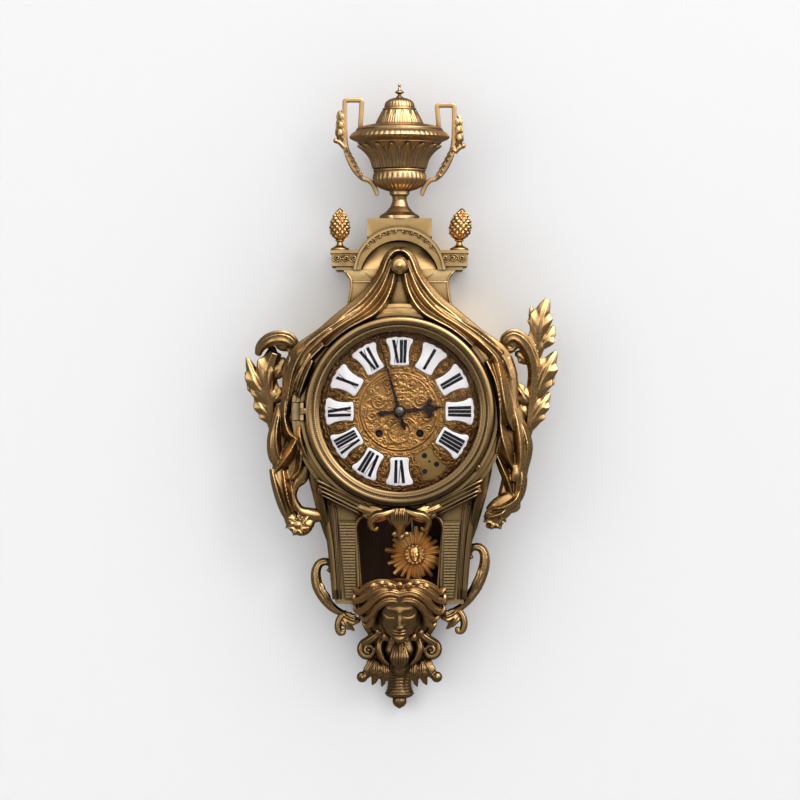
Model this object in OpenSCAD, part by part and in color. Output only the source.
// Cartel wall clock: gilt bronze case, two spring trains, dial with enamel plaques, sunburst pendulum.
// Frame: origin at the centre of the hanging hole on the wall plane, +Z up, front towards -Y, millimetres.
// Inside front() the local axes are x to the right, y up from the dial centre, z away from the wall.

/* [Case] */
// Height of the hanging hole above the dial centre
dial_drop = 174; // [172:0.5:178]
// Radius of the drum that carries the dial
drum_r = 124; // [122:1:130]
// Distance of the drum front from the wall
drum_depth = 84; // [82:1:100]
// Distance of the neck front from the wall
neck_depth = 78; // [70:1:81]
// Half width of the neck at its waist
neck_w = 57.2; // [54:0.1:60]
// Height of the neck top above the dial centre
neck_top = 163.2; // [158:0.1:170]
// Distance of the lower box front from the wall
box_depth = 62; // [58:1:70]
// Half width of the lower box at its floor
box_w = 74; // [72:0.5:78]
// Depth of the lower box floor below the dial centre
box_floor = 222.5; // [218:0.5:230]
// Thickness of the cast walls
wall = 3.5; // [2.5:0.1:5]
// Thickness of the drum front with its dial rebate
front_t = 4.5; // [3.5:0.1:6]
// Width of the stepped collar between the bezel and the drum edge
collar_w = 15; // [14.6:0.2:18]
// Half width of the pendulum window at its top
window_w = 48.5; // [40:0.5:50]
// Window top below the dial centre
window_top = 119.6; // [116:0.2:130]
// Window sill below the dial centre
window_sill = 204; // [195:0.5:208]

/* [Back and hanging] */
// Thickness of the wooden backboard
board_t = 7; // [4:0.5:8]
// Space between the wall and the backboard
board_back = 3; // [2.5:0.5:4]
// Gap between the backboard edge and the case
board_gap = 0.5; // [0.3:0.1:1]
// Radius of the hanging hole
hook_r = 5; // [3:0.5:7]
// Thickness of the iron hanging bar
bar_t = 3; // [2:0.5:4]
// Half length of the hanging bar
bar_half = 70; // [66:1:76]
// Reach of the hanging bar above its hole
bar_up = 10.2; // [8:0.1:11]
// Shank radius of the case screws
screw_r = 1.7; // [1.4:0.1:2]
// Head radius of the case screws
screw_head = 3.4; // [3:0.1:4]
// Shank length of the case screws
screw_len = 16; // [13:0.5:18]
// Radial clearance round screw shanks
screw_fit = 0.08; // [0.05:0.01:0.15]

/* [Pediment] */
// Half width over the side blocks
block_w = 78.2; // [76:0.1:82]
// Inner edge of the side blocks
block_in = 45; // [43:0.5:47]
// Height of the pediment moulding above the neck
base_h = 4.7; // [3:0.1:7]
// Height of the side blocks above the moulding
block_h = 17.8; // [14:0.1:22]
// Front of the pediment from the wall
ped_depth = 82; // [80:1:90]
// Outer radius of the arch
arch_r = 54; // [50:0.5:56]
// Radius of the recess under the arch
recess_r = 46; // [40:0.5:48]
// Half width of the plinth under the urn
plinth_w = 37.4; // [32:0.2:42]
// Height of the plinth top above the neck
plinth_h = 59.3; // [57:0.1:66]

/* [Urn] */
// Distance of the urn axis from the wall
urn_y = 58.5; // [58:0.5:64]
// Largest radius of the urn rim
rim_r = 57.4; // [54:0.2:58]
// Radius of the tie rod through the urn
rod_r = 3; // [2:0.1:3.4]
// Radial clearance of the tie rod
rod_fit = 0.08; // [0.05:0.01:0.15]
// Half thickness of the handle bars
bar_w = 2.4; // [1.8:0.1:3]

/* [Bezel] */
// Width of the bezel moulding
bezel_w = 16.7; // [16:0.1:18]
// Gap between the closed bezel and the drum
bezel_gap = 0.5; // [0.4:0.1:1]
// Height of the bezel moulding
bezel_h = 16; // [15.5:0.1:18]
// Thickness of the glass
glass_t = 2; // [1.5:0.1:2.2]
// Radius of curvature of the glass
glass_r = 428; // [400:1:460]
// Distance of the hinge axis outside the bezel
hinge_out = 3; // [2.8:0.1:4]
// Hinge pin radius
pin_r = 1.2; // [1:0.1:1.5]
// Running clearance of pins and arbors
run_fit = 0.05; // [0.03:0.01:0.08]

/* [Dial] */
// Thickness of the dial plate
dial_t = 2; // [1.8:0.1:2.2]
// Reach of the dial plate under the bezel
dial_lap = 7.7; // [7:0.1:8.7]
// Gap between the raised centre and the plaques
medal_gap = 7.2; // [5:0.2:12]
// Gap between the plaque feet and the bezel
plaque_room = 39.7; // [38.4:0.1:41]
// Thickness of the numeral plaques
plaque_t = 2.2; // [1.5:0.1:2.4]
// Radius of the winding holes
wind_hole = 4.6; // [4.2:0.1:5]
// Gap between the minute hand tip and the bezel
minute_gap = 2.3; // [1.8:0.1:12]
// Length of the hour hand
hour_len = 53; // [46:0.5:56]
// Minute hand angle clockwise from twelve
minute_at = -16; // [-30:1:30]
// Hour hand angle clockwise from twelve
hour_at = 84.3; // [60:0.1:90]

/* [Movement] */
// Radius of the movement plates
plate_r = 52; // [51.5:0.1:54]
// Thickness of the movement plates
plate_t = 2; // [1.8:0.1:2.4]
// Distance between the movement plates
plate_gap = 26; // [26:0.1:28]
// Room for the motion work behind the dial
motion_room = 8; // [8:0.1:9]
// Winding arbor offset to the side
wind_x = 23.4; // [23.2:0.1:24]
// Winding arbor offset below the centre
wind_y = 25.3; // [25.2:0.1:26]
// Radius of the barrel drums
barrel_r = 19; // [16:0.1:19.2]
// Radius of the arbor pivots
pivot_r = 0.7; // [0.5:0.05:0.8]

/* [Pendulum] */
// Height of the pendulum pivot above the dial centre
pivot_up = 41; // [41:0.1:42]
// Distance from the pivot to the bob centre
bob_len = 208; // [200:0.5:208.5]
// Angle of the pendulum to the right at rest
swing_at = 4.85; // [0:0.05:5]
// Length of the sun rays
ray_len = 31; // [24:0.5:32]
// Pendulum plane behind the back plate
hang_gap = 8; // [8:0.1:9]
// Rod radius of the pendulum
pend_r = 1.5; // [1.2:0.1:1.6]

/* [Hidden] */
$fn = 64;
bezel_out = drum_r - collar_w;
bezel_in = bezel_out - bezel_w;
hinge_x = bezel_out + hinge_out;
dial_r = bezel_in + dial_lap;
aperture_r = dial_r - 5;
dial_screw_r = dial_r - 2.5;
plaque_in = bezel_in - plaque_room;
medal_r = plaque_in - medal_gap;
minute_len = bezel_in - minute_gap;
dial_h = drum_depth - dial_t;
front_h = dial_h - motion_room - plate_t;
back_h = front_h - plate_gap - plate_t;
in_back = back_h + plate_t;
face_h = front_h + plate_t;
hang_h = back_h - hang_gap;
board_front = board_back + board_t;
bezel_base = drum_depth + bezel_gap;
bezel_top = bezel_base + bezel_h;
seat_h = bezel_base + 8.5;
hinge_h = bezel_top - 2;
glass_top = seat_h - 0.2 + bezel_in * bezel_in / (2 * glass_r);
ped_base = neck_top + base_h;
ped_top = ped_base + block_h;
plinth_top = neck_top + plinth_h;
arch_c = ped_top - 26.4;
recess_c = neck_top - 12;
hole_r = rod_r + rod_fit;
urn_0 = plinth_top;
shank = screw_r + screw_fit;
escape_p = [0, 26];
anchor_p = [0, pivot_up];
going_p = [wind_x, -wind_y];
strike_p = [-wind_x, -wind_y];
second_p = meet([0, 0], 16.2, going_p, 25.2, -1);
third_p = meet([0, 0], 15.84, escape_p, 15.36, 1);
strike2_p = [-second_p[0], second_p[1]];
pin_p = strike2_p + 16.2 * [cos(119), sin(119)];
lock_p = pin_p + 12.96 * [cos(57.5), sin(57.5)];
fly_p = lock_p + 10.24 * [cos(73), sin(73)];
minute_p = [0, -19.2];
hammer_p = [-38, 22];
bell_p = [-22, -8];
pillars_p = [[0, -47.5], [-46.5, -2], [46.5, -2], [30, 38], [-30, 38]];
screw_ring = drum_r - wall - 3.5;
foot_x = box_w - 6.5;
board_screws = [for (a = [20, 160, 212, 328]) [screw_ring, a]];
foot_screws = [for (s = [-1, 1]) [s * foot_x, 12 - box_floor]];
bell_d = back_h - board_front - 3;
bell_h = bell_d - hang_gap - 6;
panel_in = window_w + 1.5;
panel_out = box_w - 3.5;
panel_taper = 7.5;
panel_h = 90;
panel_top = window_top + 7.4;
drawn_r = 124;
drawn_depth = 84;
drawn_box = 74;
drum_grow = drum_r - drawn_r;
box_grow = box_w - drawn_box;
strap_y = 16;

// Meeting point of two circles, on the side given by s.
function meet(a, ra, b, rb, s) =
  let(d = norm(b - a), x = (ra * ra - rb * rb + d * d) / (2 * d), y = sqrt(ra * ra - x * x), e = (b - a) / d)
  a + x * e + s * y * [e[1], -e[0]];
// Rotation that puts a gear of n2 teeth in mesh with a gear of n1 teeth turned by rot1.
function mesh_at(p1, p2, n1, n2, rot1 = 0) =
  let(th = atan2(p2[1] - p1[1], p2[0] - p1[0]))
  th + 180 + 180 / n2 - (rot1 - th) * n1 / n2;
function mirrored(p) = [for (i = [len(p) - 1:-1:0]) [-p[i][0], p[i][1]]];
function flip(c) = [for (q = c) [-q[0], q[1], q[2], q[3], q[4]]];
function unit(v) = v / norm(v);
// Rows of a hanging, moved with the drum that it lies round.
function hung(c) = [
  for (q = c)
    let(d = norm([q[0], q[1]]), share = min(1, max(0, (neck_top + 20 - d) / 34)), k = 1 + share * drum_grow / d)
    [q[0] * k, q[1] * k, q[2] + share * (drum_depth - drawn_depth), q[3], q[4]]
];
function first3(q) = [q[0], q[1], q[2]];
function cat(a, b, c, d, t) =
  0.5 * (2 * b + (c - a) * t + (2 * a - 5 * b + 4 * c - d) * t * t + (3 * b - a - 3 * c + d) * t * t * t);
function spline(c, n) = [
  for (i = [0:len(c) - 2]) for (k = [0:n - 1])
    cat(c[max(i - 1, 0)], c[i], c[i + 1], c[min(i + 2, len(c) - 1)], k / n),
  c[len(c) - 1]
];

module front() {
  translate([0, 0, -dial_drop])
    rotate([90, 0, 0])
      children();
}
// Upright turned piece, profile in radius and height above the dial centre.
module turned(x, y, profile) {
  translate([x, -y, -dial_drop])
    rotate_extrude()
      polygon(profile);
}
// Cast strand through rows of [x, y, z, half width, half depth].
module strand(c, n = 3, sides = 8) {
  p = spline(c, n);
  m = len(p);
  t = [for (i = [0:m - 1]) unit(first3(p[min(i + 1, m - 1)]) - first3(p[max(i - 1, 0)]))];
  b = [for (i = [0:m - 1]) unit([0, 0, 1] - t[i][2] * t[i])];
  pts = [
    for (i = [0:m - 1]) for (j = [0:sides - 1])
      let(a = 360 * j / sides)
      first3(p[i]) + cross(b[i], t[i]) * p[i][3] * cos(a) + b[i] * p[i][4] * sin(a)
  ];
  side_a = [
    for (i = [0:m - 2]) for (j = [0:sides - 1])
      [i * sides + j, (i + 1) * sides + j, (i + 1) * sides + (j + 1) % sides]
  ];
  side_b = [
    for (i = [0:m - 2]) for (j = [0:sides - 1])
      [i * sides + j, (i + 1) * sides + (j + 1) % sides, i * sides + (j + 1) % sides]
  ];
  cap_a = [for (j = [1:sides - 2]) [0, j, j + 1]];
  cap_b = [for (j = [1:sides - 2]) [(m - 1) * sides, (m - 1) * sides + j + 1, (m - 1) * sides + j]];
  polyhedron(pts, concat(side_a, side_b, cap_a, cap_b));
}
module gear2d(n, m, half_root = 0.5, half_pitch = 0.36) {
  r = n * m / 2;
  p = 180 / n;
  polygon([
    for (i = [0:n - 1]) for (q = [
      [r - 1.25 * m, -half_root], [r, -half_pitch], [r + 0.85 * m, -0.14],
      [r + 0.85 * m, 0.14], [r, half_pitch], [r - 1.25 * m, half_root]
    ])
      let(a = 2 * p * i + p * q[1])
      q[0] * [cos(a), sin(a)]
  ]);
}
module pinion(p, n, m, z, t, rot) {
  translate([p[0], p[1], z])
    rotate(rot)
      linear_extrude(t)
        gear2d(n, m, 0.42, 0.34);
}
// Toothed wheel with four crossings.
module wheel(p, n, m, z, t, rot = 0) {
  r = n * m / 2 - 3 * m - 0.6;
  hub = 2.6;
  translate([p[0], p[1], z])
    rotate(rot)
      difference() {
        linear_extrude(t)
          gear2d(n, m);
        for (k = [0:3])
          rotate(90 * k + 45)
            translate([0, 0, -1])
              linear_extrude(t + 2)
                polygon([
                  hub * [cos(-22), sin(-22)], r * [cos(-38), sin(-38)], r * [cos(-19), sin(-19)], [r, 0],
                  r * [cos(19), sin(19)], r * [cos(38), sin(38)], hub * [cos(22), sin(22)]
                ]);
      }
}
// Arbor between the plates with a pivot in each.
module arbor(p, r) {
  translate([p[0], p[1], in_back + 0.3])
    cylinder(r = r, h = plate_gap - 0.6);
  translate([p[0], p[1], back_h + 0.2])
    cylinder(r = pivot_r, h = plate_gap + 2 * plate_t - 0.4);
}
module pivot_holes() {
  for (p = [second_p, third_p, escape_p, strike2_p, pin_p, lock_p, fly_p])
    translate([p[0], p[1], -1])
      cylinder(r = pivot_r + run_fit, h = 200);
}
module rod(x, y, z0, z1, r) {
  translate([x, y, z0])
    cylinder(r = r, h = z1 - z0);
}
module small_screw(x, y, z, up) {
  translate([x, y, z])
    mirror([0, 0, up ? 0 : 1]) {
      translate([0, 0, -1.5])
        cylinder(r = 2, h = 1.5);
      cylinder(r = 1, h = 3.2);
    }
}

// Right edge of the neck, from its top to the drum.
function neck_side(g) = [
  [neck_w + 7.8 + g, neck_top], [neck_w + 1.5 + g, neck_top - 8.5], [neck_w + g, neck_top - 14.2],
  [neck_w + 0.3 + g, neck_top - 23.5], [neck_w + 3.4 + g, neck_top - 40.7],
  [neck_w + 10.7 + g, neck_top - 54.5], [neck_w + 19.3 + g, neck_top - 67.2],
  [drum_r * cos(43.3) - 8, 40]
];
// Right edge of the lower box, from the drum to its floor.
function box_side(g) = [
  [drum_r * cos(38.5) - 8, -40], [(drum_r - 3) * cos(38.5) + g, (3 - drum_r) * sin(38.5)],
  [box_w + 19.7 + g, -101.8], [box_w + 15.1 + g, -119], [box_w + 8.2 + g, -159.3],
  [box_w + 3.6 + g, -193.8], [box_w + g, -box_floor]
];
module neck_2d(g) {
  polygon(concat(neck_side(g), mirrored(neck_side(g))));
}
module box_2d(g) {
  polygon(concat(box_side(g), mirrored(box_side(g))));
}
module case_outer(g = 0) {
  cylinder(r = drum_r + g, h = drum_depth + g, $fn = 128);
  linear_extrude(neck_depth + g)
    neck_2d(g);
  linear_extrude(box_depth + g)
    box_2d(g);
}
// Stepped collar round the bezel.
module collar(g = 0) {
  rotate_extrude($fn = 128)
    polygon([
      [bezel_out + 1.4 - g, drum_depth - 1], [drum_r + g, drum_depth - 1], [drum_r + g, drum_depth + 1.5 + g],
      [drum_r - 4 + g, drum_depth + 2.2 + g], [drum_r - 5 + g, drum_depth + 3.5 + g],
      [drum_r - 9 + g, drum_depth + 4 + g], [bezel_out + 5 + g, drum_depth + 5 + g],
      [bezel_out + 1.4 - g, drum_depth + 5 + g]
    ]);
}
function window_side() = [
  [window_w - 5, -window_sill], [window_w, -window_top - 14], [window_w - 1.5, -window_top - 7],
  [window_w - 6, -window_top - 2], [window_w - 13, -window_top]
];
module window_2d() {
  polygon(concat(window_side(), mirrored(window_side())));
}
module case_body() color([0.62, 0.46, 0.25]) front()
  difference() {
    union() {
      difference() {
        union() {
          case_outer();
          collar();
        }
        translate([0, 0, -1])
          cylinder(r = drum_r - wall, h = drum_depth - front_t + 1, $fn = 128);
        difference() {
          translate([0, 0, -1])
            linear_extrude(neck_depth - wall + 1)
              neck_2d(-wall);
          translate([-100, neck_top - wall, -2])
            cube([200, 20, 200]);
        }
        difference() {
          translate([0, 0, -1])
            linear_extrude(box_depth - wall + 1)
              box_2d(-wall);
          translate([-100, -box_floor - 20 + wall, -2])
            cube([200, 20, 200]);
        }
      }
      for (q = board_screws)
        rod(q[0] * cos(q[1]), q[0] * sin(q[1]), board_front, board_front + 14, 5);
      for (q = foot_screws)
        rod(q[0], q[1], board_front, board_front + 14, 5);
    }
    rod(0, 0, -1, 200, aperture_r);
    rod(0, 0, dial_h, 200, dial_r + 0.3);
    rod(0, 0, drum_depth, 200, bezel_out + 1.4);
    linear_extrude(200)
      window_2d();
    translate([-drum_r - 2, -11, drum_depth])
      cube([17, 22, 30]);
    for (q = board_screws)
      rod(q[0] * cos(q[1]), q[0] * sin(q[1]), 0, board_back + screw_len + 1, shank);
    for (q = foot_screws)
      rod(q[0], q[1], 0, board_back + screw_len + 1, shank);
    for (s = [-1, 1])
      translate([s * 51, neck_top + 1, 34])
        rotate([90, 0, 0])
          cylinder(r = shank, h = wall + 3);
    for (a = [45:90:315])
      rotate(a)
        rod(dial_screw_r, 0, 60, 200, 1 + screw_fit);
    for (s = [-1, 1])
      translate([s * (drum_r - wall - 2), 14, 50])
        rotate([0, s * 90, 0])
          cylinder(r = 3 + screw_fit, h = 10);
  }

module backboard() color([0.3, 0.2, 0.13]) front()
  difference() {
    union() {
      rod(0, 0, board_back, board_front, drum_r - wall - board_gap);
      translate([0, 0, board_back])
        linear_extrude(board_t)
          intersection() {
            neck_2d(-wall - board_gap);
            translate([-100, 0])
              square([200, neck_top - 14.2]);
          }
      translate([0, 0, board_back])
        linear_extrude(board_t)
          intersection() {
            box_2d(-wall - board_gap);
            translate([-120, wall + board_gap - box_floor])
              square([240, 200]);
          }
    }
    for (q = board_screws)
      rod(q[0] * cos(q[1]), q[0] * sin(q[1]), 0, 50, shank);
    for (q = foot_screws)
      rod(q[0], q[1], 0, 50, shank);
  }

// One screw along z, head behind the given level.
module case_screw() {
  translate([0, 0, -1.8])
    cylinder(r = screw_head, h = 1.8);
  cylinder(r = screw_r, h = screw_len);
}
module case_screws() color([0.55, 0.45, 0.28]) front() {
  for (q = board_screws)
    translate([q[0] * cos(q[1]), q[0] * sin(q[1]), board_back])
      case_screw();
  for (q = foot_screws)
    translate([q[0], q[1], board_back])
      case_screw();
  for (s = [-1, 1])
    translate([s * 51, neck_top - wall, 34])
      rotate([-90, 0, 0])
        case_screw();
  for (s = [-1, 1])
    translate([s * 61, dial_drop, bar_t - 1])
      case_screw();
}

module hanging_bar() color([0.2, 0.2, 0.2]) front()
  difference() {
    translate([-bar_half, neck_top + 0.4, 0])
      cube([2 * bar_half, dial_drop + bar_up - neck_top - 0.4, bar_t]);
    rod(0, dial_drop, -1, 10, hook_r);
    for (s = [-1, 1]) {
      rod(s * 61, dial_drop, -1, 10, shank);
      rod(s * 61, dial_drop, -1, bar_t - 1, screw_head + 0.3);
    }
  }

module pediment() color([0.6, 0.5, 0.3]) front()
  difference() {
    union() {
      for (s = [-1, 1])
        translate([s > 0 ? block_in : -block_w, ped_base - 0.5, bar_t + 0.3])
          cube([block_w - block_in, block_h + 0.5, ped_depth - bar_t - 0.3]);
      translate([-block_w + 5, neck_top, bar_t + 0.3])
        cube([2 * block_w - 10, base_h, ped_depth - bar_t - 3.3]);
      for (s = [-1, 1])
        translate([s > 0 ? block_in - 1 : -block_w - 1.5, ped_top - 3.5, bar_t + 0.3])
          cube([block_w - block_in + 2.5, 3.5, ped_depth - bar_t + 1.2]);
      rod(0, arch_c, bar_t + 0.3, ped_depth, arch_r);
      difference() {
        rod(0, arch_c, ped_depth - 1, ped_depth + 2, arch_r - 1.5);
        rod(0, arch_c, ped_depth - 2, ped_depth + 3, arch_r - 4);
      }
      translate([-plinth_w, arch_c + arch_r - 12, 22])
        cube([2 * plinth_w, plinth_top - arch_c - arch_r + 12, ped_depth - 24]);
    }
    translate([-200, neck_top - 200, -1])
      cube([400, 200, 200]);
    rod(0, recess_c, ped_depth - 14, 200, recess_r);
    rod(0, recess_c, -1, ped_depth - 18, recess_r - 4);
    translate([0, plinth_top + 1, urn_y])
      rotate([90, 0, 0])
        cylinder(r = hole_r, h = 12);
    for (s = [-1, 1]) {
      translate([s * 51, neck_top - 1, 34])
        rotate([-90, 0, 0])
          cylinder(r = shank, h = screw_len);
      rod(s * 61, dial_drop, 0, bar_t + screw_len + 1, shank);
      translate([s * 69, ped_top - 8, ped_depth - 20])
        rotate([-90, 0, 0])
          cylinder(r = 2.5 + screw_fit, h = 12);
    }
    rod(0, ped_base, ped_depth - 30, ped_depth, 3 + screw_fit);
  }

module urn_foot() color([0.62, 0.46, 0.25])
  turned(0, urn_y, [
    [hole_r, urn_0], [23, urn_0], [23, urn_0 + 3.5], [20.7, urn_0 + 5], [16, urn_0 + 8], [10.5, urn_0 + 14.5],
    [8, urn_0 + 22], [8.6, urn_0 + 26], [11.5, urn_0 + 28.5], [11.5, urn_0 + 32], [hole_r, urn_0 + 32]
  ]);
function urn_side() = [
  [11.5, urn_0 + 32.1], [22, urn_0 + 35.5], [29, urn_0 + 40.5], [31.6, urn_0 + 46], [31, urn_0 + 51],
  [29.6, urn_0 + 54.5], [30.6, urn_0 + 58], [33.5, urn_0 + 67.5], [39.5, urn_0 + 78], [47, urn_0 + 86.3],
  [47.4, urn_0 + 88.1], [rim_r - 3.4, urn_0 + 91.2], [rim_r, urn_0 + 96], [rim_r - 3, urn_0 + 101],
  [50, urn_0 + 103]
];
module urn_body() color([0.62, 0.46, 0.25])
  turned(0, urn_y, concat(
    [[hole_r, urn_0 + 32.1]], urn_side(),
    [
      [42, urn_0 + 103], [42, urn_0 + 90], [35, urn_0 + 78], [28.5, urn_0 + 66], [26, urn_0 + 56],
      [26, urn_0 + 48], [20, urn_0 + 40], [8, urn_0 + 37.5], [hole_r, urn_0 + 37.5]
    ]
  ));
module urn_lid() color([0.62, 0.46, 0.25])
  turned(0, urn_y, [
    [40, urn_0 + 103.1], [49.5, urn_0 + 103.1], [46, urn_0 + 106.5], [36, urn_0 + 109], [28.7, urn_0 + 111.5],
    [24.5, urn_0 + 117.5], [18.5, urn_0 + 126], [18.2, urn_0 + 128.5], [16.8, urn_0 + 130.5],
    [15.5, urn_0 + 135], [11.5, urn_0 + 138.5], [6, urn_0 + 140.3], [hole_r, urn_0 + 140.3],
    [hole_r, urn_0 + 136], [10, urn_0 + 134.5], [13, urn_0 + 129], [15, urn_0 + 124], [22, urn_0 + 113],
    [32, urn_0 + 107]
  ]);
module urn_finial() color([0.62, 0.46, 0.25])
  turned(0, urn_y, [
    [0, urn_0 - 8], [rod_r, urn_0 - 8], [rod_r, urn_0 + 140.4], [6, urn_0 + 140.4], [4, urn_0 + 142],
    [3, urn_0 + 143.5],
    [4.6, urn_0 + 145], [5.2, urn_0 + 147.2], [4.2, urn_0 + 149.4], [2.2, urn_0 + 151.5],
    [1.6, urn_0 + 156.6],
    [0, urn_0 + 157]
  ]);
function handle_rows(top) = [
  [45, urn_0 + 103, urn_y, bar_w, bar_w], [44.4, urn_0 + 116, urn_y, bar_w, bar_w],
  [43.4, top - 4, urn_y, bar_w, bar_w],
  [45, top, urn_y, bar_w, bar_w], [54, top + 0.4, urn_y, bar_w, bar_w], [61, top, urn_y, bar_w, bar_w],
  [63, top - 4, urn_y, bar_w, bar_w], [63, urn_0 + 106, urn_y, bar_w, bar_w],
  [62.6, urn_0 + 88, urn_y, bar_w, bar_w + 0.6],
  [60, urn_0 + 74, urn_y, bar_w + 0.6, bar_w + 0.8], [52.5, urn_0 + 58, urn_y, bar_w + 0.6, bar_w + 0.8],
  [43, urn_0 + 47, urn_y, bar_w, bar_w + 0.4], [36, urn_0 + 44.6, urn_y, bar_w, bar_w],
  [30, urn_0 + 39, urn_y, bar_w, bar_w],
  [26.6, urn_0 + 32, urn_y, bar_w - 0.4, bar_w], [25.8, urn_0 + 26.5, urn_y, bar_w - 0.6, bar_w - 0.4]
];
function husk_rows(top) = [
  [64.5, top - 16, urn_y, 1.5, 2], [66.5, top - 22, urn_y, 3, 3.4], [66, top - 28, urn_y, 2.4, 3],
  [69, top - 34, urn_y, 4.2, 4],
  [66.5, top - 41, urn_y, 3.4, 3.4], [72, top - 47, urn_y, 2.6, 2.6], [75.2, top - 48, urn_y, 2.2, 2.2]
];
// Keeps a handle out of the urn body and its foot.
module urn_space(g) {
  translate([0, 0, urn_y])
    rotate([-90, 0, 0])
      rotate_extrude()
        polygon(concat(
          [[0, urn_0 + 20], [8.8 + g, urn_0 + 26], [11.6 + g, urn_0 + 28.4]],
          [for (q = urn_side()) [q[0] + g, q[1]]],
          [[50 + g, urn_0 + 103.2], [46 + g, urn_0 + 106.6], [36 + g, urn_0 + 109.2],
            [28.7 + g, urn_0 + 111.7], [0, urn_0 + 112]]
        ));
}
module urn_handle_left() color([0.62, 0.46, 0.25]) front()
  difference() {
    union() {
      strand(flip(handle_rows(urn_0 + 137)));
      strand(flip(husk_rows(urn_0 + 137)));
    }
    urn_space(0.06);
  }
module urn_handle_right() color([0.62, 0.46, 0.25]) front()
  difference() {
    union() {
      strand(handle_rows(urn_0 + 131));
      strand(husk_rows(urn_0 + 131));
    }
    urn_space(0.06);
  }

module pine_cone(x) {
  turned(x, ped_depth - 20, [
    [0, ped_top - 7], [2.5, ped_top - 7], [2.5, ped_top + 0.1], [10, ped_top + 0.1], [10, ped_top + 3],
    [6, ped_top + 5.6],
    [3.1, ped_top + 9], [3.1, ped_top + 11], [7, ped_top + 14.5], [10.5, ped_top + 20],
    [11.5, ped_top + 28.5],
    [10, ped_top + 36], [6, ped_top + 44], [1.5, ped_top + 48.8], [0, ped_top + 49.4]
  ]);
}
module pine_cone_left() color([0.55, 0.36, 0.2]) pine_cone(-69);
module pine_cone_right() color([0.55, 0.36, 0.2]) pine_cone(69);

module drapery_knob() color([0.62, 0.46, 0.25]) front()
  translate([0, ped_base, 0])
    rotate_extrude()
      polygon([
        [0, ped_depth - 26], [3, ped_depth - 26], [3, ped_depth - 13.9], [4.5, ped_depth - 13.9],
        [4.5, ped_depth + 4],
        [9.9, ped_depth + 7], [9.9, ped_depth + 11], [7, ped_depth + 14.5], [0, ped_depth + 16]
      ]);

// Outer face of everything the cast ornament sits on.
module seat_space(g = 0.06) {
  rotate_extrude($fn = 128)
    polygon([
      [0, 0], [drum_r + g, 0], [drum_r + g, drum_depth + 1.5 + g], [drum_r - 4 + g, drum_depth + 2.2 + g],
      [drum_r - 5 + g, drum_depth + 3.5 + g], [drum_r - 9 + g, drum_depth + 4 + g],
      [bezel_out + 5 + g, drum_depth + 5 + g], [bezel_out + 1.5, drum_depth + 5 + g],
      [bezel_out + 1.5, drum_depth + 60], [0, drum_depth + 60]
    ]);
  linear_extrude(neck_depth + g)
    neck_2d(g);
  linear_extrude(box_depth + g)
    box_2d(g);
}
// Swags from the knob over the shoulder, falls down the side, rolled end; rows for the right side.
function swag_rows() = [
  [
    [2, neck_top + 20, ped_depth - 3, 4, 5], [9, neck_top + 18, ped_depth - 1, 5, 6],
    [16, neck_top + 9, ped_depth, 6, 6],
    [21, neck_top - 2, ped_depth + 1, 6, 6], [31, neck_top - 19, ped_depth + 1, 6, 7],
    [44, neck_top - 37, ped_depth + 2, 7, 8],
    [60, neck_top - 51, ped_depth + 3, 7, 8], [75, neck_top - 64, ped_depth + 4, 7, 8],
    [90, neck_top - 80, ped_depth + 4, 7, 8],
    [108, neck_top - 92, ped_depth + 2, 8, 9], [121, neck_top - 104, ped_depth - 1, 8, 9],
    [127, neck_top - 122, ped_depth - 5, 7, 9]
  ],
  [
    [12, neck_top - 3, ped_depth, 5, 6], [21, neck_top - 24, ped_depth + 1, 6, 7],
    [33, neck_top - 41, ped_depth + 3, 7, 8],
    [47, neck_top - 54, ped_depth + 5, 7, 8], [62, neck_top - 64, ped_depth + 6, 7, 8],
    [78, neck_top - 74, ped_depth + 7, 7, 8],
    [95, neck_top - 88, ped_depth + 6, 8, 8], [110, neck_top - 105, ped_depth + 4, 8, 8],
    [117, neck_top - 126, ped_depth + 2, 7, 7],
    [119, neck_top - 146, ped_depth, 3, 4]
  ],
  [
    [6, neck_top - 8, ped_depth - 1, 4, 5], [10, neck_top - 28, ped_depth, 5, 6],
    [19, neck_top - 43, ped_depth + 3, 5, 7],
    [30, neck_top - 54, ped_depth + 5, 5, 7], [44, neck_top - 61, ped_depth + 6, 5, 6],
    [58, neck_top - 68, ped_depth + 6, 4, 5],
    [68, neck_top - 76, ped_depth + 6, 2, 3]
  ]
];
module swag(s) {
  for (c = swag_rows())
    strand(hung(s > 0 ? c : flip(c)), 2);
}
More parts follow.
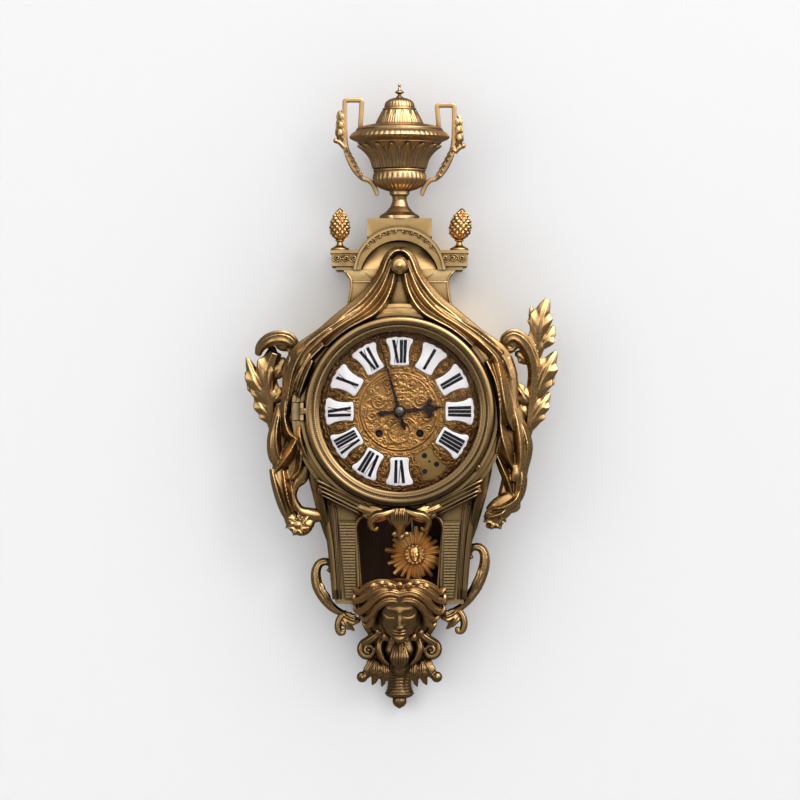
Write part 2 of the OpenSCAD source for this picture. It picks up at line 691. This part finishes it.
// Room kept free round the knob.
module swag_clear() {
  seat_space();
  rod(0, ped_base, neck_depth - 30, ped_depth + 40, 10.3);
}
module drapery_right() color([0.66, 0.5, 0.28]) front()
  difference() {
    union() {
      swag(1);
      strand(n = 2, c = hung([
        [124, 60, 78, 7, 9], [131, 40, 76, 7, 9], [131, 8, 74, 7, 9], [127, -20, 74, 8, 9],
        [128, -48, 72, 9, 9],
        [130, -76, 70, 9, 9], [128, -96, 68, 9, 9], [122, -110, 66, 8, 8]
      ]));
      strand(n = 2, c = hung([
        [116, 56, 84, 6, 7], [119, 36, 82, 6, 7], [121, 10, 80, 5, 7], [123, -18, 78, 6, 7],
        [138, -34, 74, 6, 7],
        [149, -50, 72, 5, 7], [145, -72, 70, 6, 7], [138, -92, 69, 6, 7], [134, -108, 68, 5, 6]
      ]));
      strand(n = 2, c = hung([
        [125, 50, 80, 6, 7], [129, 22, 77, 7, 8], [132, -8, 75, 8, 8], [137, -38, 73, 8, 8],
        [138, -68, 71, 8, 8],
        [133, -95, 69, 7, 8]
      ]));
      strand(n = 2, c = hung([
        [138, -92, 66, 5, 6], [128, -104, 68, 9, 8], [113, -112, 68, 11, 9], [104, -120, 66, 11, 9],
        [97, -126, 64, 8, 7]
      ]));
      strand(n = 2, c = hung([[110, -116, 66, 6, 6], [106, -126, 66, 8, 7], [104, -133, 65, 4, 5]]));
    }
    swag_clear();
  }
module drapery_left() color([0.66, 0.5, 0.28]) front()
  difference() {
    union() {
      swag(-1);
      strand(n = 2, c = hung([
        [-124, 60, 78, 7, 9], [-130, 40, 76, 7, 9], [-128, 8, 74, 7, 9], [-122, -22, 74, 8, 9],
        [-120, -46, 72, 8, 9],
        [-126, -66, 70, 8, 9], [-128, -90, 68, 8, 9], [-122, -112, 66, 8, 8]
      ]));
      strand(n = 2, c = hung([
        [-116, 56, 84, 6, 7], [-119, 36, 82, 6, 7], [-121, 10, 80, 5, 7], [-128, -10, 78, 6, 7],
        [-142, -26, 74, 6, 7],
        [-148, -48, 72, 6, 7], [-143, -78, 70, 6, 7], [-136, -104, 68, 7, 7], [-128, -122, 67, 6, 6]
      ]));
      strand(n = 2, c = hung([
        [-125, 50, 80, 6, 7], [-128, 22, 77, 7, 8], [-130, -6, 75, 8, 8], [-134, -36, 73, 8, 8],
        [-136, -68, 71, 8, 8],
        [-131, -98, 69, 8, 8], [-126, -116, 67, 7, 7]
      ]));
      strand(n = 2, c = hung([
        [-128, -114, 66, 9, 8], [-121, -128, 67, 11, 9], [-112, -135, 67, 11, 9], [-104, -130, 65, 9, 8],
        [-96, -121, 63, 5, 5],
        [-90, -118, 61, 4, 4]
      ]));
    }
    swag_clear();
    translate([-drum_r - 2.5, -12.5, drum_depth - 4])
      cube([20, 25, 40]);
  }

// Leaf of a stem and lobes, with a lug to the drum at the side.
module leaf(side, stem, lobes, lug) {
  translate([side * drum_grow, 0, 0]) {
    strand(stem);
    for (c = lobes)
      strand(c, 3, 6);
  }
  translate([side * (drum_r - wall - 1), 14, 50])
    rotate([0, side * 90, 0])
      cylinder(r = 3, h = lug);
}
module acanthus_right() color([0.6, 0.44, 0.24]) front()
  difference() {
    leaf(1,
      [[148, -32, 54, 4, 4], [156, -4, 54, 6, 6], [160, 19, 54, 6, 7], [161, 42, 56, 6, 7],
        [159, 65, 58, 6, 6],
       [157, 84, 60, 6, 5], [157, 100, 62, 6, 5], [163, 117, 64, 5, 4], [171, 130, 66, 1.2, 1.5]],
      [
        [[157, 92, 62, 4, 3], [153, 104, 63, 5, 3], [150, 111, 64, 2, 2]],
        [[159, 76, 60, 5, 4], [169, 88, 62, 9, 4], [177, 99, 63, 2, 2]],
        [[160, 36, 57, 5, 4], [171, 52, 60, 10, 4], [181, 66, 61, 3, 2]],
        [[160, 30, 57, 5, 4], [172, 40, 60, 9, 4], [180, 51, 60, 3, 2]],
        [[156, 0, 55, 5, 4], [166, 10, 58, 8, 4], [174, 22, 59, 2, 2]],
        [[159, 62, 58, 5, 5], [153, 76, 64, 6, 6], [144, 90, 67, 7, 7], [133, 95, 68, 7, 7],
          [123, 90, 67, 7, 6],
         [122, 81, 66, 5, 5], [129, 79, 65, 3, 3]],
        [[157, 28, 57, 5, 5], [150, 56, 61, 6, 5], [142, 68, 63, 7, 5], [133, 70, 63, 3, 3]],
        [[155, -4, 55, 5, 5], [145, 14, 58, 8, 5], [137, 26, 60, 3, 3]],
        [[150, -24, 54, 4, 4], [142, -12, 56, 7, 4], [135, 0, 57, 3, 3]]
      ], 36);
    rod(0, 0, 30, 70, drum_r + 0.1 - wall - 0.9);
  }
module acanthus_left() color([0.6, 0.44, 0.24]) front()
  difference() {
    leaf(-1,
      [[-146, -12, 54, 3, 4], [-152, 7, 54, 6, 6], [-157, 25, 54, 6, 7], [-158, 42, 56, 6, 7],
        [-157, 59, 58, 6, 6],
       [-156, 72, 60, 5, 5]],
      [
        [[-163, 72, 60, 3, 3], [-154, 80, 63, 6, 5], [-140, 87, 66, 7, 7], [-130, 88, 67, 7, 7],
          [-122, 84, 66, 6, 6],
         [-121, 78, 65, 4, 4], [-127, 76, 64, 3, 3]],
        [[-158, 30, 56, 6, 4], [-167, 46, 60, 10, 4], [-177, 60, 61, 3, 2]],
        [[-158, 26, 56, 5, 4], [-168, 38, 60, 8, 4], [-178, 48, 60, 2, 2]],
        [[-149, -4, 54, 5, 4], [-160, 10, 58, 8, 4], [-169, 25, 59, 2, 2]],
        [[-152, 30, 56, 6, 5], [-144, 48, 61, 9, 5], [-135, 67, 63, 4, 3]],
        [[-152, 12, 56, 6, 5], [-145, 30, 60, 9, 5], [-138, 54, 62, 4, 3]],
        [[-149, 4, 55, 5, 5], [-143, 14, 58, 8, 5], [-137, 25, 60, 4, 3]],
        [[-146, -10, 54, 4, 4], [-140, -2, 56, 6, 4], [-134, 4, 57, 3, 3]]
      ], 34);
    rod(0, 0, 30, 70, drum_r + 0.1 - wall - 0.9);
  }

module fluted_panel() {
  translate([0, -panel_top, 0])
    linear_extrude(box_depth + 2.4)
      polygon([[panel_in, 0], [panel_out, 0], [panel_out - panel_taper, -panel_h], [panel_in - 1, -panel_h]]);
  for (k = [0:25])
    let(y = 3 + 3.35 * k)
    translate([panel_in + 1, -panel_top - y - 1, box_depth + 2])
      cube([panel_out - panel_in - 2 - y * panel_taper / panel_h, 2, 1.6]);
}
module fluted_panel_right() color([0.6, 0.44, 0.24]) front()
  difference() {
    fluted_panel();
    translate([-100, -300, -1])
      cube([200, 300, box_depth + 1.05]);
  }
module fluted_panel_left() color([0.6, 0.44, 0.24]) front()
  difference() {
    mirror([1, 0, 0])
      fluted_panel();
    translate([-100, -300, -1])
      cube([200, 300, box_depth + 1.05]);
  }

module shell_mount() color([0.62, 0.46, 0.25]) front()
  difference() {
    union() {
      strand(hung([[0, -110, 92, 9, 5], [0, -117, 93, 12, 6], [0, -127, 90, 12, 6], [0, -138, 82, 7, 5],
        [0, -144, 76, 2, 2]]));
      for (s = [-1, 1]) {
        strand(hung([[s * 6, -112, 91, 5, 5], [s * 18, -114, 91, 7, 5], [s * 30, -116, 89, 6, 5],
          [s * 40, -121, 82, 3, 4]]));
        strand(hung([[s * 8, -116, 89, 5, 4], [s * 20, -122, 88, 6, 4], [s * 30, -128, 82, 5, 4],
          [s * 36, -134, 74, 2, 2]]));
        strand(hung([[s * 14, -118, 84, 6, 6], [s * 32, -121, 78, 7, 8], [s * 48, -121, 70, 6, 8],
          [s * 56, -119, 65, 4, 5]]));
      }
    }
    seat_space();
    translate([-80, -300, 0])
      cube([160, 173.2, box_depth + 4.4]);
  }

module scroll_leaf_right() color([0.6, 0.44, 0.24]) front()
  difference() {
    translate([box_grow, 0, 0]) {
      strand([[80, -162, 46, 3, 5], [86, -158, 47, 4, 6], [94, -159, 48, 5, 7], [100, -168, 48, 6, 7],
        [99, -182, 48, 6, 7],
        [92, -200, 47, 7, 7], [82, -216, 46, 6, 7], [72, -227, 45, 5, 6], [63, -231, 44, 4, 5]]);
      strand([[66, -229, 44, 4, 5], [72, -236, 45, 5, 5], [75, -246, 45, 5, 5], [73, -255, 45, 5, 5],
        [70, -257, 45, 4, 4]]);
    }
    case_outer(0.06);
  }
module scroll_leaf_left() color([0.6, 0.44, 0.24]) front()
  difference() {
    translate([-box_grow, 0, 0]) {
      strand([[-78, -178, 46, 3, 5], [-84, -175, 47, 4, 6], [-93, -177, 48, 5, 7], [-98, -187, 48, 6, 7],
        [-96, -203, 48, 6, 7],
        [-88, -218, 47, 6, 7], [-77, -229, 46, 5, 6], [-66, -234, 45, 4, 5], [-61, -235, 44, 3, 4]]);
      strand([[-64, -233, 44, 4, 5], [-69, -240, 45, 4, 5], [-71, -248, 45, 4, 5], [-70, -257, 45, 5, 5],
        [-67, -258, 45, 4, 4]]);
    }
    case_outer(0.06);
  }

module mask_head() color([0.5, 0.38, 0.2]) front()
  difference() {
    union() {
      hull() {
        translate([0, -226, 78])
          sphere(r = 25, $fn = 32);
        translate([0, -244, 84])
          sphere(r = 17, $fn = 32);
        translate([0, -255, 88])
          sphere(r = 8.5, $fn = 32);
      }
      translate([0, -239, 104])
        sphere(r = 4.5);
      for (s = [-1, 1]) {
        strand([[s * 2, -194, 86, 6, 8], [s * 16, -196, 88, 9, 10], [s * 30, -206, 84, 10, 10],
          [s * 39, -220, 78, 9, 9],
          [s * 44, -231, 73, 5, 6]]);
        strand([[s * 20, -212, 86, 8, 8], [s * 28, -224, 84, 8, 9], [s * 32, -238, 78, 7, 8],
          [s * 30, -252, 74, 4, 5]]);
      }
    }
    translate([-100, -300, -1])
      cube([200, 300, box_depth + 1.06]);
    seat_space();
    translate([-100, -217, -1])
      cube([200, 60, box_depth + 4.2]);
  }

// Bracket turned about an axis near the wall, with volutes, leaves and berries cast on.
pend_y = 8;
module pendant() color([0.48, 0.36, 0.19]) front()
  difference() {
    union() {
      translate([0, 0, pend_y])
        rotate([-90, 0, 0])
          rotate_extrude()
            polygon([
              [0, -box_floor - 0.06], [58, -box_floor - 0.06], [46, -232], [36, -244], [31, -258],
              [33, -268], [36, -280],
              [31, -292], [20, -300], [15, -308], [13, -318], [15, -328], [16.5, -332], [12, -335], [0, -336]
            ]);
      for (s = [-1, 1]) {
        rod(s * 36, -278, 8, pend_y + 30, 12);
        rod(s * 36, -278, 8, pend_y + 33, 5);
        strand([[s * 28, -290, 28, 7, 7], [s * 36, -299, 30, 7, 7], [s * 43, -308, 30, 6.5, 6.5],
          [s * 46, -312, 30, 4, 4]]);
        strand([[s * 30, -288, 32, 7, 7], [s * 25, -300, 32, 7, 7], [s * 20, -310, 30, 5, 6],
          [s * 18, -316, 28, 2, 3]]);
      }
      strand([[0, -268, 40, 6, 6], [0, -278, 44, 10, 9], [0, -288, 45, 12, 10], [0, -297, 42, 8, 8],
        [0, -304, 34, 3, 4]]);
      translate([0, -339, pend_y + 4])
        sphere(r = 8.2);
    }
    translate([-100, -400, -100])
      cube([200, 300, 100.4]);
    translate([-100, -264, box_depth])
      cube([200, 60, 60]);
  }

module bezel_ring() color([0.68, 0.55, 0.32]) front()
  difference() {
    union() {
      rotate_extrude($fn = 128)
        polygon([
          [bezel_in, seat_h], [bezel_in, seat_h + 1.2], [bezel_in + 2.7, seat_h + 3.2],
          [bezel_in + 4.5, seat_h + 3.6],
          [bezel_in + 5.5, seat_h + 5.4], [bezel_in + 8.5, bezel_top - 0.6], [bezel_in + 11.5, bezel_top],
          [bezel_out - 2.5, bezel_top - 1.2], [bezel_out - 0.4, bezel_top - 4.5], [bezel_out, bezel_top - 8],
          [bezel_out, bezel_base], [bezel_in + 6.2, bezel_base], [bezel_in + 6.2, seat_h]
        ]);
      translate([-hinge_x, 3.6, hinge_h])
        rotate([90, 0, 0])
          cylinder(r = 2.6, h = 7.2);
      translate([-hinge_x, -3.6, hinge_h - 2.6])
        cube([8, 7.2, 4.2]);
      rotate(-36)
        translate([bezel_out - 3, -4, drum_depth + 5.8])
          cube([7, 8, 3]);
    }
    translate([-hinge_x, 20, hinge_h])
      rotate([90, 0, 0])
        cylinder(r = pin_r + run_fit, h = 40);
  }
module bezel_glass() color([0.8, 0.9, 0.95, 0.3]) front()
  intersection() {
    difference() {
      translate([0, 0, glass_top - glass_r])
        sphere(r = glass_r, $fn = 128);
      translate([0, 0, glass_top - glass_t - glass_r])
        sphere(r = glass_r, $fn = 128);
    }
    rod(0, 0, drum_depth - 5, drum_depth + 60, bezel_in + 6.1);
  }
module hinge_bracket() color([0.6, 0.48, 0.28]) front()
  difference() {
    union() {
      translate([-drum_r + 2, -10, drum_depth])
        cube([11.5, 20, 2]);
      for (s = [-1, 1])
        translate([-hinge_x - 2.6, s * 7 - 3, drum_depth])
          cube([5, 6, hinge_h - drum_depth]);
      for (s = [-1, 1])
        translate([-hinge_x, s * 7 + 3, hinge_h])
          rotate([90, 0, 0])
            cylinder(r = 2.6, h = 6);
    }
    translate([-hinge_x, 20, hinge_h])
      rotate([90, 0, 0])
        cylinder(r = pin_r + run_fit, h = 40);
    rod(0, 0, drum_depth - 1, hinge_h + 10, bezel_out + 0.4);
  }
module hinge_pin() color([0.5, 0.5, 0.5]) front()
  translate([-hinge_x, 10.4, hinge_h])
    rotate([90, 0, 0])
      cylinder(r = pin_r, h = 20.8);

module dial_plate() color([0.75, 0.55, 0.28]) front()
  difference() {
    union() {
      rod(0, 0, dial_h, drum_depth, dial_r);
      rod(0, 0, dial_h, drum_depth + 0.8, medal_r);
      translate([0, 0, drum_depth + 0.8])
        rotate_extrude()
          translate([medal_r - 1.6, 0])
            circle(r = 1.4);
      difference() {
        rod(0, -23, dial_h, drum_depth + 1.6, 13.6);
        rod(0, -23, drum_depth + 0.8, drum_depth + 5, 11.6);
      }
    }
    rod(0, 0, 0, 200, 4.7);
    for (s = [-1, 1])
      rod(s * wind_x, -wind_y, 0, 200, wind_hole);
    for (a = [45:90:315])
      rotate(a) {
        rod(dial_screw_r, 0, 0, 200, 1 + screw_fit);
        rod(dial_screw_r, 0, drum_depth - 1.5, 200, 2.1);
      }
    for (s = [-1, 1])
      rod(s * 60, strap_y, 0, dial_h + 1.3, 1 + screw_fit);
    rotate(-150) {
      rod(0, 69, drum_depth - 1, 200, 1.6);
      for (q = [[0, 80], [-6, 60], [6, 60]])
        rod(q[0], q[1], drum_depth - 1, 200, 0.9);
    }
  }
function plaque_side() = [
  [11, 0.4], [11.4, 3], [9.6, 8], [10, 15], [12, 22.5], [15.4, 26], [15.2, 30], [11.5, 31.5], [7, 33.8],
  [3, 33.2]
];
module numeral_plaques() color([0.93, 0.92, 0.9]) front()
  for (k = [0:11])
    if (k != 5)
      rotate(-30 * k)
        translate([0, plaque_in, drum_depth])
          linear_extrude(plaque_t)
            polygon(concat(plaque_side(), mirrored(plaque_side())));
module movement_screws() color([0.45, 0.45, 0.48]) front() {
  for (a = [45:90:315])
    rotate(a)
      small_screw(dial_screw_r, 0, drum_depth - 1.5, false);
  for (s = [-1, 1]) {
    small_screw(s * 60, strap_y, dial_h - 2, true);
    small_screw(s * 46, strap_y, back_h - 2, true);
  }
}

module minute_hand() color([0.12, 0.12, 0.16]) front()
  translate([0, 0, drum_depth + 5.4])
    rotate(-minute_at)
      difference() {
        union() {
          cylinder(r = 6, h = 0.9);
          linear_extrude(0.9)
            polygon([
              [-2.4, 4], [-1.3, 24], [-1.7, 30], [-1.1, 36], [-0.4, minute_len], [0.4, minute_len],
              [1.1, 36], [1.7, 30],
              [1.3, 24], [2.4, 4], [1.3, -8], [2.6, -18], [0, -23], [-2.6, -18], [-1.3, -8]
            ]);
        }
        translate([0, 0, -1])
          cylinder(r = 2.4 + run_fit, h = 4);
      }
module hour_hand() color([0.12, 0.12, 0.16]) front()
  translate([0, 0, drum_depth + 3.2])
    rotate(-hour_at)
      difference() {
        union() {
          cylinder(r = 7, h = 0.9);
          linear_extrude(0.9)
            difference() {
              polygon([
                [-2.4, 4], [-1.5, 26], [-5, 31], [-11, 34], [-8.5, 38], [-4.5, 37], [-2.5, 41],
                [-1.2, 45], [0, hour_len],
                [1.2, 45], [2.5, 41], [4.5, 37], [8.5, 38], [11, 34], [5, 31], [1.5, 26], [2.4, 4], [1.4, -9],
                [3, -21], [0, -27], [-3, -21], [-1.4, -9]
              ]);
              translate([-3.6, 34])
                circle(r = 1.5);
              translate([3.6, 34])
                circle(r = 1.5);
            }
        }
        translate([0, 0, -1])
          cylinder(r = 4 + run_fit, h = 4);
      }
module hand_nut() color([0.35, 0.33, 0.32]) front()
  difference() {
    translate([0, 0, drum_depth + 6.4])
      rotate_extrude()
        polygon([[0, 0], [5, 0], [5, 0.8], [4, 1.8], [2.4, 2.6], [0, 2.6]]);
    rod(0, 0, 0, drum_depth + 8.4, 1.5 + run_fit);
  }
module cannon_pinion() color([0.7, 0.58, 0.32]) front()
  difference() {
    union() {
      pinion([0, 0], 16, 0.6, face_h + 1, 2, mesh_at(minute_p, [0, 0], 48, 16));
      rod(0, 0, face_h + 1, drum_depth + 6.3, 2.4);
    }
    rod(0, 0, 0, 200, 1.5 + run_fit);
  }
module minute_wheel() color([0.7, 0.58, 0.32]) front()
  difference() {
    union() {
      wheel(minute_p, 48, 0.6, face_h + 1.2, 1.6);
      pinion(minute_p, 12, 0.64, face_h + 1.2, 4.6, mesh_at([0, 0], minute_p, 48, 12));
    }
    rod(minute_p[0], minute_p[1], 0, 200, 1.2 + run_fit);
  }
module hour_wheel() color([0.7, 0.58, 0.32]) front()
  difference() {
    union() {
      wheel([0, 0], 48, 0.64, face_h + 3.8, 1.6);
      rod(0, 0, face_h + 3.8, drum_depth + 4.1, 4);
    }
    rod(0, 0, 0, 200, 2.4 + 0.1);
  }

module plate_disc(z) {
  difference() {
    rod(0, 0, z, z + plate_t, plate_r);
    pivot_holes();
    for (p = pillars_p)
      rod(p[0], p[1], z - 1, z + 10, 2 + screw_fit);
    for (p = [going_p, strike_p])
      rod(p[0], p[1], z - 1, z + 10, 3 + run_fit);
    rod(0, 0, z - 1, z + 10, 1.5 + run_fit);
    for (p = [anchor_p, hammer_p])
      rod(p[0], p[1], z - 1, z + 10, 1.2 + run_fit);
  }
}
module front_plate() color([0.75, 0.62, 0.35]) front() {
  plate_disc(front_h);
  rod(minute_p[0], minute_p[1], face_h - 0.5, face_h + 6.2, 1.2);
}
module back_plate() color([0.75, 0.62, 0.35]) front()
  difference() {
    plate_disc(back_h);
    for (s = [-1, 1])
      rod(s * 46, strap_y, back_h - 1, back_h + 10, 1 + screw_fit);
  }
module plate_pillars() color([0.72, 0.6, 0.34]) front()
  for (p = pillars_p) {
    rod(p[0], p[1], in_back, front_h, 3.5);
    rod(p[0], p[1], back_h, front_h + plate_t, 2);
  }
module movement_straps() color([0.72, 0.6, 0.34]) front()
  for (s = [-1, 1])
    difference() {
      mirror([s > 0 ? 0 : 1, 0, 0]) {
        translate([40, strap_y - 6, back_h - 2])
          cube([plate_r - 38.2, 12, 2]);
        translate([plate_r - 0.2, strap_y - 6, back_h - 2])
          cube([2, 12, dial_h - back_h + 2]);
        translate([plate_r - 0.2, strap_y - 6, dial_h - 2])
          cube([66 - plate_r, 12, 2]);
      }
      rod(s * 46, strap_y, 0, back_h + 1, 1 + screw_fit);
      rod(s * 60, strap_y, back_h + 1, 200, 1 + screw_fit);
    }

// Spring barrel with its winding arbor and square.
module barrel(p) {
  wheel_z = in_back + 6;
  rod(p[0], p[1], back_h, face_h + 0.2, 3);
  translate([p[0], p[1], wheel_z])
    linear_extrude(2)
      gear2d(72, 0.6);
  difference() {
    rod(p[0], p[1], wheel_z + 1, wheel_z + 11, barrel_r);
    rod(p[0], p[1], wheel_z + 3, wheel_z + 9.5, barrel_r - 1.5);
  }
  rod(p[0], p[1], wheel_z + 1, wheel_z + 10, 6);
  translate([p[0] - 2.2, p[1] - 2.2, face_h])
    cube([4.4, 4.4, drum_depth - face_h - 0.6]);
}
module going_barrel() color([0.74, 0.6, 0.34]) front() barrel(going_p);
module strike_barrel() color([0.74, 0.6, 0.34]) front() barrel(strike_p);
module going_second_wheel() color([0.74, 0.6, 0.34]) front() {
  arbor(second_p, 1);
  pinion(second_p, 12, 0.6, in_back + 5.6, 3, mesh_at(going_p, second_p, 72, 12));
  wheel(second_p, 60, 0.45, in_back + 21.5, 1.5);
}
module centre_wheel() color([0.74, 0.6, 0.34]) front() {
  rod(0, 0, in_back + 0.3, front_h - 0.3, 1.1);
  rod(0, 0, back_h + 0.2, in_back + 1, 1.5);
  rod(0, 0, front_h - 1, drum_depth + 8.2, 1.5);
  pinion([0, 0], 12, 0.45, in_back + 21, 2.5, mesh_at(second_p, [0, 0], 60, 12));
  wheel([0, 0], 80, 0.36, in_back + 12.8, 1.2);
}
module third_wheel() color([0.74, 0.6, 0.34]) front() {
  arbor(third_p, 0.9);
  pinion(third_p, 8, 0.36, in_back + 12, 3, mesh_at([0, 0], third_p, 80, 8));
  wheel(third_p, 88, 0.32, in_back + 4, 1);
}
module escape_wheel() color([0.74, 0.6, 0.34]) front() {
  arbor(escape_p, 0.8);
  pinion(escape_p, 8, 0.32, in_back + 3, 3, mesh_at(third_p, escape_p, 88, 8));
  translate([0, escape_p[1], in_back + 16])
    difference() {
      linear_extrude(0.8)
        polygon([
          for (k = [0:35]) for (q = [[9.2, 0], [11, 5.4], [11, 6.2], [9.2, 7.2]])
            q[0] * [cos(10 * k + q[1]), sin(10 * k + q[1])]
        ]);
      for (k = [0:3])
        rotate(90 * k)
          translate([0, 0, -1])
            linear_extrude(4)
              polygon([[2.2, -0.8], [6, -4], [7.4, 0], [6, 4], [2.2, 0.8]]);
    }
}
module strike_second_wheel() color([0.74, 0.6, 0.34]) front() {
  arbor(strike2_p, 1);
  pinion(strike2_p, 12, 0.6, in_back + 5.6, 3, mesh_at(strike_p, strike2_p, 72, 12));
  wheel(strike2_p, 60, 0.45, in_back + 19, 1.2);
}
module pin_wheel() color([0.74, 0.6, 0.34]) front() {
  arbor(pin_p, 0.9);
  pinion(pin_p, 12, 0.45, in_back + 18.4, 2.4, mesh_at(strike2_p, pin_p, 60, 12));
  wheel(pin_p, 64, 0.36, in_back + 9, 1.2);
  for (k = [0:7])
    rod(pin_p[0] + 9.9 * cos(45 * k), pin_p[1] + 9.9 * sin(45 * k), in_back + 9.5, in_back + 12, 0.5);
}
module locking_wheel() color([0.74, 0.6, 0.34]) front() {
  arbor(lock_p, 0.8);
  pinion(lock_p, 8, 0.36, in_back + 8.4, 2.4, mesh_at(pin_p, lock_p, 64, 8));
  wheel(lock_p, 56, 0.32, in_back + 13, 1);
}
module fly() color([0.74, 0.6, 0.34]) front() {
  arbor(fly_p, 0.7);
  pinion(fly_p, 8, 0.32, in_back + 12.4, 2.2, mesh_at(lock_p, fly_p, 56, 8));
  translate([fly_p[0] - 6.5, fly_p[1] - 0.4, in_back + 18.5])
    cube([13, 0.8, 6]);
}

module anchor() color([0.45, 0.45, 0.5]) front() {
  rod(0, pivot_up, hang_h + 3, face_h - 0.2, 1.2);
  translate([0, pivot_up, 0])
    rotate(swing_at) {
      translate([0, 0, in_back + 16])
        linear_extrude(1.4)
          polygon([
            [0, 3.2], [-5, 1], [-9.4, -4.2], [-9, -6.2], [-7.4, -5.4], [-4.4, -2.4], [0, -1.6], [4.4, -2.4],
            [7.4, -5.4], [9, -6.2], [9.4, -4.2], [5, 1]
          ]);
      translate([0, 0, hang_h + 3])
        cylinder(r = 2.6, h = 2);
      translate([-1.5, -46, hang_h + 3])
        cube([3, 46, 2]);
      translate([-4, -46, hang_h + 2.4])
        cube([8, 3, 2.6]);
      for (s = [-1, 1])
        translate([s * 3 - 1, -46, hang_h - 3])
          cube([2, 3, 6.5]);
    }
}
module suspension_cock() color([0.72, 0.6, 0.34]) front()
  union() {
    translate([-5, pivot_up + 4.2, hang_h - 5])
      cube([10, 6, hang_gap + 5]);
    translate([-9, pivot_up + 4.2, back_h - 2])
      cube([18, 6, 2]);
  }
module pendulum_rod() color([0.5, 0.5, 0.52]) front()
  translate([0, pivot_up, hang_h])
    rotate(swing_at) {
      translate([-0.3, -10, -2])
        cube([0.6, 13, 4]);
      translate([-2.5, -16, -2])
        cube([5, 7, 4]);
      translate([0, -15, 0])
        rotate([90, 0, 0])
          cylinder(r = pend_r, h = bob_len + 3);
      translate([0, -bob_len - 13, 0])
        rotate([90, 0, 0])
          cylinder(r = 4, h = 4);
    }
module sunburst_bob() color([0.85, 0.6, 0.3]) front()
  translate([0, pivot_up, hang_h])
    rotate(swing_at)
      translate([0, -bob_len, 0])
        difference() {
          union() {
            translate([-4, -9, -3.6])
              cube([8, 18, 9]);
            translate([0, 0, 4.6])
              linear_extrude(1.8)
                polygon([
                  for (k = [0:23])
                    let(r = k % 2 == 0 ? ray_len : ray_len - 5)
                    for (q = [[12, -7.5], [r, -1.2], [r, 1.2]])
                      q[0] * [cos(15 * k + q[1]), sin(15 * k + q[1])]
                ]);
            translate([0, 0, 4.6])
              cylinder(r1 = 15, r2 = 11, h = 3.4);
            intersection() {
              translate([0, 0, 0.4])
                sphere(r = 12);
              translate([-20, -20, 5.4])
                cube([40, 40, 20]);
            }
          }
          translate([0, 30, 0])
            rotate([90, 0, 0])
              cylinder(r = pend_r + screw_fit, h = 60);
        }

module bell() color([0.8, 0.66, 0.36]) front()
  translate([bell_p[0], bell_p[1], back_h - bell_d])
    rotate_extrude()
      polygon([
        for (q = [
          [3.05, 0], [14, 0.03], [24, 0.24], [29.5, 0.53], [32, 1],
          [30.6, 1], [28, 0.565], [23, 0.32], [14, 0.13], [3.05, 0.106]
        ])
          [q[0], q[1] * bell_h]
      ]);
module bell_stand() color([0.72, 0.6, 0.34]) front() {
  rod(bell_p[0], bell_p[1], back_h - bell_d - 2, back_h, 2.95);
  rod(bell_p[0], bell_p[1], back_h - bell_d + 2, back_h, 4.5);
  rod(bell_p[0], bell_p[1], back_h - bell_d - 2.4, back_h - bell_d - 0.1, 5);
}
module hammer() color([0.45, 0.45, 0.5]) front() {
  rod(hammer_p[0], hammer_p[1], back_h - 12.5, face_h - 0.2, 1.2);
  rod(hammer_p[0], hammer_p[1], back_h - 12.5, back_h - 9, 2.6);
  translate([hammer_p[0], hammer_p[1], back_h - 12.5])
    rotate(3.3)
      translate([0, -1.5, 0])
        cube([34, 3, 1.8]);
  rod(-3.5, 24, back_h - 24, back_h - 10.7, 4);
  translate([hammer_p[0], hammer_p[1], in_back + 11])
    rotate(-33)
      translate([0, -0.8, 0])
        cube([5, 1.6, 1.5]);
}

case_body();
backboard();
case_screws();
hanging_bar();
pediment();
urn_foot();
urn_body();
urn_lid();
urn_finial();
urn_handle_left();
urn_handle_right();
pine_cone_left();
pine_cone_right();
drapery_knob();
drapery_left();
drapery_right();
acanthus_left();
acanthus_right();
fluted_panel_left();
fluted_panel_right();
shell_mount();
scroll_leaf_left();
scroll_leaf_right();
mask_head();
pendant();
bezel_ring();
bezel_glass();
hinge_bracket();
hinge_pin();
dial_plate();
numeral_plaques();
movement_screws();
minute_hand();
hour_hand();
hand_nut();
cannon_pinion();
minute_wheel();
hour_wheel();
front_plate();
back_plate();
plate_pillars();
movement_straps();
going_barrel();
going_second_wheel();
centre_wheel();
third_wheel();
escape_wheel();
strike_barrel();
strike_second_wheel();
pin_wheel();
locking_wheel();
fly();
anchor();
suspension_cock();
pendulum_rod();
sunburst_bob();
bell();
bell_stand();
hammer();
